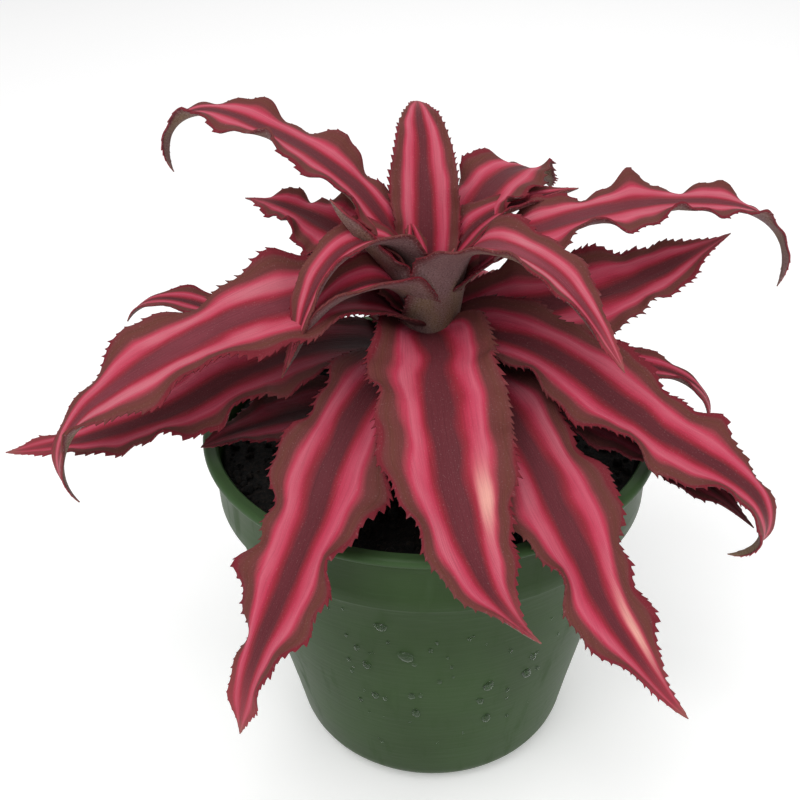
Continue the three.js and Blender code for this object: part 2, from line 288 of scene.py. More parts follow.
@dataclass(frozen=True)
class BladeFinish:
    """The upper side of a leaf: a dark middle, two pink stripes and brown margins."""

    middle: Colour = shade(94, 40, 46)
    blush: Colour = shade(150, 42, 56)
    rose: Colour = shade(190, 52, 80)
    pink: Colour = shade(198, 66, 94)
    bright: Colour = shade(206, 84, 108)
    fading: Colour = shade(160, 62, 74)
    margin: Colour = shade(114, 58, 58)
    olive: Colour = shade(108, 60, 53)
    edge: Colour = shade(122, 40, 50)
    pale: Colour = shade(204, 118, 130)
    veiled: Colour = shade(154, 70, 84)
    cream: Colour = shade(234, 168, 156)
    # Dark streaks, and the colour of painted shade.
    streak_and_shade: Colour = shade(40, 10, 16)
    scurf: Colour = shade(190, 150, 150)
    tip_blush: Colour = shade(168, 66, 78)
    tip: Colour = shade(148, 96, 88)

    def material(self) -> bpy.types.Material:
        """Make the material.

        Returns:
            The finished material.
        """
        bench = Bench("leaf_upper_side")
        along, across, _ = bench.parts(bench.attribute("blade"))
        # The middle number of this attribute is painted shade.
        pale, dark, glow = bench.parts(bench.attribute("tone_and_shade"))
        grain = bench.attribute("grain")
        wander = bench.noise(bench.stretched(grain, (0.045, 0.12, 1.0)), 1.0) - 0.5
        sway = bench.noise(bench.stretched(grain, (0.04, 0.0, 1.7)), 1.0) - 0.5
        out = abs(across + sway * 0.45) + wander * 0.42
        stripes = bench.ramp(
            out,
            (
                (0.0, self.middle),
                (0.15, self.middle),
                (0.28, self.blush),
                (0.39, self.rose),
                (0.49, self.pink),
                (0.57, self.bright),
                (0.64, self.rose),
                (0.7, self.fading),
                (0.76, self.margin),
                (0.88, self.olive),
                (0.96, self.margin),
                (1.0, self.edge),
            ),
        )
        in_pink = out.rise(0.3, 0.48) * (1 - out.rise(0.55, 0.7))
        patches = bench.noise(bench.stretched(grain, (0.06, 0.1, 1.3)), 1.0).rise(0.35, 0.65)
        colour = bench.mix(in_pink * pale * (patches * 0.7 + 0.3), stripes, self.pale)
        in_middle = 1 - out.rise(0.1, 0.35)
        veil = in_middle * pale * pale * (patches * 0.4 + 0.5)
        colour = bench.mix(veil, colour, self.veiled)
        colour = bench.mix(in_pink * glow, colour, self.cream)
        streaks = bench.noise(bench.stretched(grain, (0.1, 3.2, 1.0)), 1.0, 3.0)
        colour = bench.mix(streaks.rise(0.42, 0.75) * 0.16, colour, self.streak_and_shade)
        specks = bench.noise(grain, 3.4)
        colour = bench.mix(specks.rise(0.6, 0.75) * 0.16, colour, self.scurf)
        colour = bench.mix(along.rise(0.8, 0.97) * 0.6, colour, self.tip_blush)
        colour = bench.mix(along.rise(0.95, 1.0) * 0.8, colour, self.tip)
        # Painted shade where the leaf lies in shade, and at its base under younger leaves.
        colour = bench.mix(dark, colour, self.streak_and_shade)
        roughness = 0.46 + patches * 0.1 + out.rise(0.65, 0.8) * 0.12
        height = streaks + specks * 0.4
        return bench.finish(colour, roughness, height, 0.14 * MM, Specular_IOR_Level=0.1)


@dataclass(frozen=True)
class UndersideFinish:
    """The under side of a leaf: dull brown with fine grey scales."""

    ground: Colour = shade(128, 98, 98)
    olive: Colour = shade(130, 106, 84)
    edge: Colour = shade(108, 52, 56)
    # Dark streaks and specks, and the colour of painted shade.
    dark: Colour = shade(50, 30, 34)
    scale: Colour = shade(168, 150, 150)

    def material(self) -> bpy.types.Material:
        """Make the material.

        Returns:
            The finished material.
        """
        bench = Bench("leaf_under_side")
        _, across, _ = bench.parts(bench.attribute("blade"))
        # The middle number of this attribute is painted shade.
        _, dark, _ = bench.parts(bench.attribute("tone_and_shade"))
        grain = bench.attribute("grain")
        drift = bench.noise(bench.stretched(grain, (0.06, 0.14, 1.0)), 1.0)
        colour = bench.mix(drift.rise(0.4, 0.7), self.ground, self.olive)
        colour = bench.mix(abs(across).rise(0.8, 1.0), colour, self.edge)
        streaks = bench.noise(bench.stretched(grain, (0.2, 2.6, 1.0)), 1.0)
        colour = bench.mix(streaks.rise(0.5, 0.8) * 0.3, colour, self.dark)
        specks = bench.noise(grain, 3.0)
        colour = bench.mix((1 - specks.rise(0.3, 0.45)) * 0.7, colour, self.dark)
        colour = bench.mix(specks.rise(0.54, 0.68) * 0.35, colour, self.scale)
        # Painted shade where the leaf lies in shade, and at its base under younger leaves.
        colour = bench.mix(dark * 0.8, colour, self.dark)
        height = specks + streaks * 0.5
        return bench.finish(colour, 0.82, height, 0.12 * MM, Specular_IOR_Level=0.25)


@dataclass(frozen=True)
class PotFinish:
    """Thin green plastic with moulding streaks, dried splashes, scuffs, and painted light on the
    top of the lip.
    """

    green: Colour = shade(46, 66, 34)
    light: Colour = shade(53, 75, 41)
    # Lighter green for the scuffs, and for painted light on the top of the lip.
    scuffed_and_lit: Colour = shade(68, 94, 60)
    stain: Colour = shade(82, 100, 74)

    def material(self, lip_from: float) -> bpy.types.Material:
        """Make the material.

        Args:
            lip_from: The height where the lip starts, in metres.

        Returns:
            The finished material.
        """
        bench = Bench("pot_plastic")
        place = bench.place()
        _, _, height = bench.parts(place)
        cloud = bench.noise(place, 38.0, 3.0)
        colour = bench.mix(cloud.rise(0.3, 0.7), self.green, self.light)
        runs = bench.noise(bench.stretched(place, (260.0, 260.0, 34.0)), 1.0, 3.0)
        colour = bench.mix(runs.rise(0.6, 0.78) * 0.22, colour, self.stain)
        scuffs = bench.noise(bench.stretched(place, (90.0, 90.0, 900.0)), 1.0, 4.0)
        colour = bench.mix(scuffs.rise(0.6, 0.8) * 0.2, colour, self.scuffed_and_lit)
        # Painted light: the top of the rolled lip is lighter, where it faces the light from above.
        colour = bench.mix(height.rise(lip_from, lip_from + 1.5 * MM) * 0.6, colour, self.scuffed_and_lit)
        roughness = 0.36 + cloud * 0.12 + runs.rise(0.55, 0.75) * 0.2
        height = scuffs + runs * 0.5
        return bench.finish(colour, roughness, height, 0.06 * MM, Specular_IOR_Level=0.1)


@dataclass(frozen=True)
class EarthFinish:
    """Damp peat or bark: two browns in crumbs of their own size, nearly without gloss."""

    name: str
    dark: Colour
    light: Colour
    roughness: float
    crumb_scale: float

    def material(self) -> bpy.types.Material:
        """Make the material.

        Returns:
            The finished material.
        """
        bench = Bench(self.name)
        place = bench.place()
        crumbs = bench.noise(place, self.crumb_scale, 4.0)
        fine = bench.noise(place, self.crumb_scale * 5)
        colour = bench.mix(crumbs.rise(0.4, 0.7), self.dark, self.light)
        height = crumbs + fine * 0.4
        roughness = self.roughness - fine.rise(0.55, 0.7) * 0.25
        return bench.finish(colour, roughness, height, 0.5 * MM, Specular_IOR_Level=0.25)


PEAT = EarthFinish("peat", shade(9, 9, 9), shade(30, 24, 20), 0.95, 900.0)
BARK = EarthFinish("bark", shade(34, 23, 18), shade(80, 56, 44), 0.85, 1400.0)
STEM_BARK = EarthFinish("stem_fibre", shade(58, 40, 30), shade(132, 100, 78), 0.8, 1100.0)


@dataclass(frozen=True)
class WaterFinish:
    """Clear water."""

    tint: Colour = (0.92, 1.0, 0.94, 1.0)

    def material(self) -> bpy.types.Material:
        """Make the material.

        Returns:
            The finished material.
        """
        bench = Bench("water")
        return bench.finish(self.tint, 0.02, Transmission_Weight=1.0, IOR=1.33)


# ---------------------------------------------------------------------------
# Making pieces
# ---------------------------------------------------------------------------


def deselect() -> None:
    """Leave object mode's selection empty."""
    if bpy.context.object and bpy.context.object.mode != "OBJECT":
        bpy.ops.object.mode_set(mode="OBJECT")
    bpy.ops.object.select_all(action="DESELECT")


def apply_modifier(piece: bpy.types.Object, kind: str, **settings: Any) -> None:
    """Add a modifier, set it and apply it.

    Args:
        piece: The piece that it changes.
        kind: The modifier's type.
        **settings: Its settings.
    """
    modifier = piece.modifiers.new(kind.title(), kind)
    for key, value in settings.items():
        setattr(modifier, key, value)
    bpy.context.view_layer.objects.active = piece
    bpy.ops.object.modifier_apply(modifier=modifier.name)


def tidy_mesh(piece: bpy.types.Object, weld: float = 0.001 * MM, turn_out: bool = False) -> None:
    """Merge doubled points, and turn the faces out if asked.

    Args:
        piece: The piece.
        weld: The distance within which points are one.
        turn_out: Whether its normals are worked out again.
    """
    deselect()
    piece.select_set(True)
    bpy.context.view_layer.objects.active = piece
    bpy.ops.object.mode_set(mode="EDIT")
    bpy.ops.mesh.select_all(action="SELECT")
    bpy.ops.mesh.remove_doubles(threshold=weld)
    if turn_out:
        bpy.ops.mesh.normals_make_consistent(inside=False)
    bpy.ops.object.mode_set(mode="OBJECT")


def smooth(piece: bpy.types.Object, angle: float = 180.0) -> None:
    """Smooth a piece, but keep its sharper edges.

    Args:
        piece: The piece.
        angle: Faces that meet at less than this many degrees are smoothed into each other.
    """
    deselect()
    piece.select_set(True)
    bpy.context.view_layer.objects.active = piece
    bpy.ops.object.shade_smooth_by_angle(angle=math.radians(angle))


def turned(name: str, outline: Sequence[tuple[float, float]], sides: int) -> bpy.types.Object:
    """Draw a disc up through the rings of an outline into a round closed solid.

    Args:
        name: The piece's name.
        outline: Radius and height of each ring in metres, from one flat end to the other.
        sides: How many corners each ring has.

    Returns:
        The piece.
    """
    deselect()
    radius, height = outline[0]
    bpy.ops.mesh.primitive_circle_add(
        vertices=sides, radius=radius, fill_type="NGON", location=(0, 0, height)
    )
    piece = bpy.context.object
    piece.name = name
    bpy.ops.object.transform_apply(location=True, rotation=True, scale=True)
    bpy.ops.object.mode_set(mode="EDIT")
    bpy.ops.mesh.select_all(action="SELECT")
    for next_radius, next_height in outline[1:]:
        bpy.ops.mesh.extrude_region_move(
            TRANSFORM_OT_translate={"value": (0, 0, next_height - height)}
        )
        bpy.ops.transform.resize(
            value=(next_radius / radius, next_radius / radius, 1), center_override=(0, 0, 0)
        )
        radius, height = next_radius, next_height
    bpy.ops.object.mode_set(mode="OBJECT")
    tidy_mesh(piece, turn_out=True)
    return piece


def copies(
    name: str,
    patterns: Sequence[bpy.types.Object],
    places: Sequence[Matrix],
) -> bpy.types.Object:
    """Set copies of small patterns at their places, in one piece, and remove the patterns.

    Args:
        name: The piece's name.
        patterns: The shapes, used in turn.
        places: Where each copy goes.

    Returns:
        The piece.
    """
    shapes = []
    for pattern in patterns:
        points = [vertex.co.copy() for vertex in pattern.data.vertices]
        faces = [tuple(face.vertices) for face in pattern.data.polygons]
        shapes.append((points, faces))
        bpy.data.objects.remove(pattern)
    points = []
    faces = []
    for number, place in enumerate(places):
        shape_points, shape_faces = shapes[number % len(shapes)]
        start = len(points)
        points.extend(place @ point for point in shape_points)
        faces.extend(tuple(start + corner for corner in face) for face in shape_faces)
    mesh = bpy.data.meshes.new(name)
    mesh.from_pydata(points, [], faces)
    piece = bpy.data.objects.new(name, mesh)
    bpy.context.scene.collection.objects.link(piece)
    return piece


def joined(pieces: Sequence[bpy.types.Object]) -> bpy.types.Object:
    """Join pieces into the first of them.

    Args:
        pieces: The pieces, the first of which gives its name.

    Returns:
        The joined piece.
    """
    deselect()
    for piece in pieces:
        piece.select_set(True)
    bpy.context.view_layer.objects.active = pieces[0]
    bpy.ops.object.join()
    return pieces[0]


def settle(piece: bpy.types.Object, slot: Slot, *nodes: str) -> None:
    """Ride a finished piece on the body, and hide the nodes that it stands for.

    Args:
        piece: The finished piece.
        slot: The record's material slot; not used.
        *nodes: The nodes that it replaces.
    """
    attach(piece, BODY)
    if nodes:
        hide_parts(*nodes)
    log.info("%s: %d faces", piece.name, len(piece.data.polygons))


def arc(
    centre: tuple[float, float], radius: float, start: float, end: float, steps: int
) -> list[tuple[float, float]]:
    """Give points on an arc of an outline.

    Args:
        centre: Radius and height of the arc's centre.
        radius: The arc's own radius.
        start: Where it starts, in degrees.
        end: Where it ends, in degrees.
        steps: How many stretches it has.

    Returns:
        The arc's points.
    """
    points = []
    for step in range(steps + 1):
        angle = math.radians(start + (end - start) * step / steps)
        points.append(
            (centre[0] + radius * math.cos(angle), centre[1] + radius * math.sin(angle))
        )
    return points


# ---------------------------------------------------------------------------
# Pot
# ---------------------------------------------------------------------------


@dataclass(frozen=True)
class Pot:
    """The thin tapered nursery pot, with its rolled lip, collar, step and drainage holes."""

    collar_height: float = 16 * MM
    collar_inset: float = 2.2 * MM
    step_depth: float = 2.0 * MM
    base_radius: float = 36 * MM
    corner_radius: float = 8 * MM
    foot_inset: float = 5 * MM
    foot_rise: float = 0.5 * MM
    wall: float = 1.2 * MM
    floor: float = 2 * MM
    lip_radius: float = 1.2 * MM
    drain_radius: float = 4.5 * MM
    drain_circle: float = 20 * MM
    sides: int = 160

    @property
    def rim_radius(self) -> float:
        """The lip's outer radius, from the frame."""
        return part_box("pot")[1].x

    @property
    def height(self) -> float:
        """The pot's height, from the frame."""
        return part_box("pot")[1].z

    @property
    def collar_radius(self) -> float:
        """The collar's outer radius."""
        return self.rim_radius - self.collar_inset

    @property
    def wall_top(self) -> float:
        """Where the tapered wall ends under the collar."""
        return self.height - self.collar_height

    def wall_radius(self, height: float) -> float:
        """Work out the wall's outer radius, collar included.

        Args:
            height: The height above the bottom.

        Returns:
            The radius there.
        """
        if height > self.wall_top:
            return self.collar_radius
        share = (height - self.corner_radius) / (self.wall_top - self.corner_radius)
        top = self.collar_radius - self.step_depth
        return self.base_radius + (top - self.base_radius) * max(share, 0.0)

    def outline(self) -> list[tuple[float, float]]:
        """Draw half of the pot's section.

        Returns:
            Rings from the middle of the bottom, out and up, over the lip and down inside.
        """
        corner = (self.base_radius - self.corner_radius, self.corner_radius)
        top = self.collar_radius - self.step_depth
        lean = math.degrees(
            math.atan2(top - self.base_radius, self.wall_top - self.corner_radius)
        )
        lip_middle = (self.rim_radius - self.lip_radius, self.height - self.lip_radius)
        inside = self.collar_radius - self.wall
        foot = corner[0] - self.foot_inset
        rings = [(foot, self.foot_rise), (foot + 1 * MM, 0.0)]
        rings += arc(corner, self.corner_radius, -90, -lean, 8)
        for step in range(1, 9):
            level = self.corner_radius + (self.wall_top - 3 * MM - self.corner_radius) * step / 8
            rings.append((self.wall_radius(level), level))
        rings += [
            (top, self.wall_top - 1.2 * MM),
            (top + 0.2 * MM, self.wall_top - 0.7 * MM),
            (self.collar_radius - 0.6 * MM, self.wall_top - 0.1 * MM),
            (self.collar_radius - 0.3 * MM, self.wall_top + 0.5 * MM),
            (self.collar_radius - 0.2 * MM, self.wall_top + 4 * MM),
            (self.collar_radius, self.height - 3.4 * MM),
            (self.collar_radius + 0.3 * MM, self.height - 2.6 * MM),
        ]
        rings += arc(lip_middle, self.lip_radius, -80, 100, 10)
        rings += [
            (inside + 0.7 * MM, self.height - 0.1 * MM),
            (inside + 0.2 * MM, self.height - 0.6 * MM),
            (inside, self.height - 1.4 * MM),
            (inside - 0.4 * MM, self.wall_top + 0.6 * MM),
            (top - self.wall, self.wall_top - 1 * MM),
            (self.base_radius - self.wall, self.corner_radius),
            (corner[0] + 1 * MM, self.floor),
            (corner[0] - 2 * MM, self.floor),
        ]
        return rings

    def build(self) -> bpy.types.Object:
        """Model the pot and dress it.

        Returns:
            The piece.
        """
        piece = turned("pot_shell", self.outline(), self.sides)
        for number in range(4):
            angle = math.radians(45 + 90 * number)
            spot = (self.drain_circle * math.cos(angle), self.drain_circle * math.sin(angle), 0)
            deselect()
            bpy.ops.mesh.primitive_cylinder_add(
                vertices=48, radius=self.drain_radius, depth=4 * self.floor, location=spot
            )
            drill = bpy.context.object
            apply_modifier(piece, "BOOLEAN", object=drill, operation="DIFFERENCE", solver="EXACT")
            bpy.data.objects.remove(drill)
        smooth(piece, 35)
        lip_from = self.height - 2 * self.lip_radius
        piece.data.materials.append(PotFinish().material(lip_from))
        settle(piece, Slot.POT, "pot")
        return piece


@dataclass(frozen=True)
class Drops:
    """Water drops on the front of the pot's wall."""

    pot: Pot
    # Compass direction in degrees, height in mm, width in mm, and tilt in degrees.
    large: tuple[tuple[float, float, float, float], ...] = (
        (261, 56, 3.4, 62),
        (255, 66, 2.6, 75),
        (249, 50, 2.2, 20),
        (247, 56, 1.6, 0),
        (262, 40, 1.8, 0),
        (263, 33, 2.4, 10),
        (286, 42, 2.8, -25),
        (284, 36, 1.8, 0),
        (287, 28, 2.6, 0),
        (299, 42, 2.8, 25),
        (300, 48, 2.0, 10),
        (250, 38, 2.0, 15),
    )
    small_count: int = 46
    small_compass: tuple[float, float] = (238, 310)
    small_height: tuple[float, float] = (16 * MM, 70 * MM)
    small_width: tuple[float, float] = (0.5 * MM, 1.3 * MM)
    small_tilt: tuple[float, float] = (-20, 20)
    flatness: tuple[float, float, float] = (0.3, 0.42, 0.6)
    narrower_at_top: float = 0.22
    seed: int = 11

    def _place(self, compass: float, height: float, width: float, tilt: float) -> Matrix:
        """Work out where a drop sits on the wall.

        Args:
            compass: The compass direction from +X, in degrees.
            height: The height above the bottom.
            width: The drop's width.
            tilt: How far it leans sideways, in degrees.

        Returns:
            The drop's place and size.
        """
        angle = math.radians(compass)
        radius = self.pot.wall_radius(height)
        spot = Vector((radius * math.cos(angle), radius * math.sin(angle), height))
        face_out = Matrix.Rotation(angle, 4, "Z")
        lean = Matrix.Rotation(math.radians(tilt), 4, "X")
        size = Matrix.Diagonal((*(width * part for part in self.flatness), 1.0))
        return Matrix.Translation(spot) @ face_out @ lean @ size

    def build(self) -> bpy.types.Object:
        """Model the drops and dress them.

        Returns:
            The piece.
        """
        rng = random.Random(self.seed)
        deselect()
        bpy.ops.mesh.primitive_uv_sphere_add(segments=20, ring_count=12, radius=1.0)
        pattern = bpy.context.object
        for vertex in pattern.data.vertices:
            vertex.co.y *= 1.0 - self.narrower_at_top * vertex.co.z
        places = [
            self._place(compass, height * MM, width * MM, tilt)
            for compass, height, width, tilt in self.large
        ]
        for _ in range(self.small_count):
            compass = rng.uniform(*self.small_compass)
            height = rng.uniform(*self.small_height)
            width = rng.uniform(*self.small_width)
            tilt = rng.uniform(*self.small_tilt)
            places.append(self._place(compass, height, width, tilt))
        piece = copies("water_drops", [pattern], places)
        smooth(piece)
        piece.data.materials.append(WaterFinish().material())
        settle(piece, Slot.POT)
        return piece


# ---------------------------------------------------------------------------
# Soil and stem
# ---------------------------------------------------------------------------


@dataclass(frozen=True)
class Soil:
    """Damp peat with crumbs and a few chips of bark on its surface."""

    mound: float = 1.5 * MM
    foot_radius: float = 27 * MM
    corner_radius: float = 34.4 * MM
    corner_height: float = 8 * MM
    step_radius: float = 48.2 * MM
    step_height: float = 73 * MM
    ring_step: float = 1.1 * MM
    sides: int = 150
    # The size and the height of the lumps, coarse ones and fine ones.
    lumps: tuple[tuple[float, float], ...] = ((5 * MM, 1.6 * MM), (1.6 * MM, 1.1 * MM))
    crumb_count: int = 1500
    chip_count: int = 30
    seed: int = 5

    def _surface(self, radius: float) -> float:
        """Work out how high the soil is.

        Args:
            radius: The distance from the pot's axis.

        Returns:
            The height of the surface there.
        """
        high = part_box("soil")[1]
        share = min(radius / high.x, 1.0)
        return high.z - self.mound * share ** 2

    def _ground(self) -> bpy.types.Object:
        """Model the mass of the soil, with an uneven top.

        Returns:
            The mass.
        """
        low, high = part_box("soil")
        reach = high.x
        rings = [
            (self.foot_radius, low.z),
            (self.corner_radius, self.corner_height),
            (self.step_radius, self.step_height),
            (reach - 0.1 * MM, self.step_height + 2.6 * MM),
            (reach, self._surface(reach) - 0.8 * MM),
        ]
        radius = reach - 0.6 * MM
        while radius > 2 * MM:
            rings.append((radius, self._surface(radius)))
            radius -= self.ring_step
        piece = turned("soil_mass", rings, self.sides)
        group = piece.vertex_groups.new(name="top")
        top = self._surface(reach) - 0.4 * MM
        inside = reach - 0.3 * MM
        chosen = [
            vertex.index
            for vertex in piece.data.vertices
            if vertex.co.z > top and math.hypot(vertex.co.x, vertex.co.y) < inside
        ]
        group.add(chosen, 1.0, "REPLACE")
        for size, strength in self.lumps:
            clouds = bpy.data.textures.new("lumps", "CLOUDS")
            clouds.noise_scale = size
            apply_modifier(
                piece,
                "DISPLACE",
                texture=clouds,
                strength=strength,
                vertex_group="top",
                direction="Z",
                texture_coords="LOCAL",
            )
        return piece

    def _pattern(self, number: int, chip: bool) -> bpy.types.Object:
        """Model one rough crumb, or one flat chip of bark.

        Args:
            number: The pattern's number, which makes it unlike the others.
            chip: Whether it is a chip.

        Returns:
            The pattern, with a radius of about 1.
        """
        deselect()
        bpy.ops.mesh.primitive_ico_sphere_add(subdivisions=1 + int(chip), radius=1.0)
        pattern = bpy.context.object
        bpy.ops.object.mode_set(mode="EDIT")
        bpy.ops.mesh.select_all(action="SELECT")
        bpy.ops.transform.vertex_random(offset=0.25, seed=self.seed + number)
        if chip:
            bpy.ops.transform.resize(value=(1.0, 0.55, 0.22))
        bpy.ops.object.mode_set(mode="OBJECT")
        return pattern

    def _scatter(self, count: int, low: float, high: float, flat: float) -> list[Matrix]:
        """Choose places all over the surface.

        Args:
            count: How many there are.
            low: The least size.
            high: The greatest size.
            flat: How far they tip out of level, in radians.

        Returns:
            Each one's place and size.
        """
        rng = random.Random(self.seed + count)
        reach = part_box("soil")[1].x - 1.2 * MM
        places = []
        for _ in range(count):
            radius = reach * math.sqrt(rng.uniform(0.02, 1.0))
            angle = rng.uniform(0, 2 * math.pi)
            size = low + (high - low) * rng.random() ** 2
            radius = min(radius, reach - size * 0.6)
            spot = (
                radius * math.cos(angle),
                radius * math.sin(angle),
                self._surface(radius) + size * rng.uniform(0.05, 0.5),
            )
            spin = Matrix.Rotation(rng.uniform(0, 2 * math.pi), 4, "Z")
            tip = Matrix.Rotation(rng.gauss(0, flat), 4, "X")
            places.append(Matrix.Translation(spot) @ spin @ tip @ Matrix.Scale(size, 4))
        return places

    def build(self) -> bpy.types.Object:
        """Model the soil and dress it.

        Returns:
            The piece.
        """
        ground = self._ground()
        ground.data.materials.append(PEAT.material())
        crumb_patterns = [self._pattern(number, False) for number in range(5)]
        crumb_places = self._scatter(self.crumb_count, 0.3 * MM, 1.5 * MM, 1.2)
        crumbs = copies("crumbs", crumb_patterns, crumb_places)
        crumbs.data.materials.append(ground.data.materials[0])
        chip_patterns = [self._pattern(number, True) for number in range(4)]
        chip_places = self._scatter(self.chip_count, 1.0 * MM, 3.2 * MM, 0.3)
        chips = copies("chips", chip_patterns, chip_places)
        chips.data.materials.append(BARK.material())
        piece = joined([ground, crumbs, chips])
        smooth(piece, 40)
        settle(piece, Slot.SOIL, "soil")
        return piece


@dataclass(frozen=True)
class Stem:
    """The short stem, ringed by the scars of old leaves."""

    foot_radius: float = 5 * MM
    low_radius: float = 7.4 * MM
    high_radius: float = 2.9 * MM
    low_below_tip: float = 27 * MM
    rings: int = 13
    steps_per_ring: int = 6
    ring_bulge: float = 0.45 * MM
    sides: int = 72

    def build(self) -> bpy.types.Object:
        """Model the stem and dress it.

        Returns:
            The piece.
        """
        low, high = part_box("stem")
        widest = high.z - self.low_below_tip
        outline = [(self.foot_radius - 0.5 * MM, low.z)]
        steps = self.rings * self.steps_per_ring
        for step in range(steps + 1):
            height = low.z + (high.z - 1 * MM - low.z) * step / steps
            if height < widest:
                share = (height - low.z) / (widest - low.z)
                radius = self.foot_radius + (self.low_radius - self.foot_radius) * share
            else:
                share = (height - widest) / (high.z - widest)
                radius = self.low_radius + (self.high_radius - self.low_radius) * share
            bulge = abs(math.sin(math.pi * step / self.steps_per_ring)) - 1.0
            outline.append((radius + self.ring_bulge * bulge, height + 0.02 * MM))
        outline.append((1.2 * MM, high.z))
        piece = turned("stem_scarred", outline, self.sides)
        smooth(piece, 60)
        piece.data.materials.append(STEM_BARK.material())
        settle(piece, Slot.STEM, "stem")
        return piece


# ---------------------------------------------------------------------------
# Leaves
# ---------------------------------------------------------------------------


@dataclass(frozen=True)
class Ruffle:
    """The waves of a leaf's margins: depth in mm, waves along the leaf, and phase."""

    depth: float = 1.6
    waves: float = 3.5
    phase: float = 0.0


@dataclass(frozen=True)
class Look:
    """How a leaf's colour differs: pale stripes, painted shade all over a leaf that lies in shade
    and near its base under younger leaves, and cream spots, each given as its place along
    and across the blade and its reach.
    """

    pale: float = 0.2
    # Painted shade: the first number over the whole leaf, the next two near its base, where
    # younger leaves shade it.
    dark: float = 0.0
    base_painted_shade: float = 0.5
    base_reach: float = 0.14
    spots: tuple[tuple[float, float, float], ...] = ()


# How far across the blade its rows of points lie, from the middle to the margin.
ROWS = (0.0, 0.14, 0.28, 0.42, 0.55, 0.67, 0.78, 0.87, 0.94, 1.0)

# A tooth's outline over four columns: how far along its pitch each stands, and how far out.
TOOTH_COLUMNS = (0.0, 0.45, 0.68, 0.86)
TOOTH_HEIGHTS = (0.03, 0.08, 0.36, 1.0)
# How far a tooth leans towards the leaf's tip, as a share of how far it stands out.
TOOTH_LEAN = 0.85


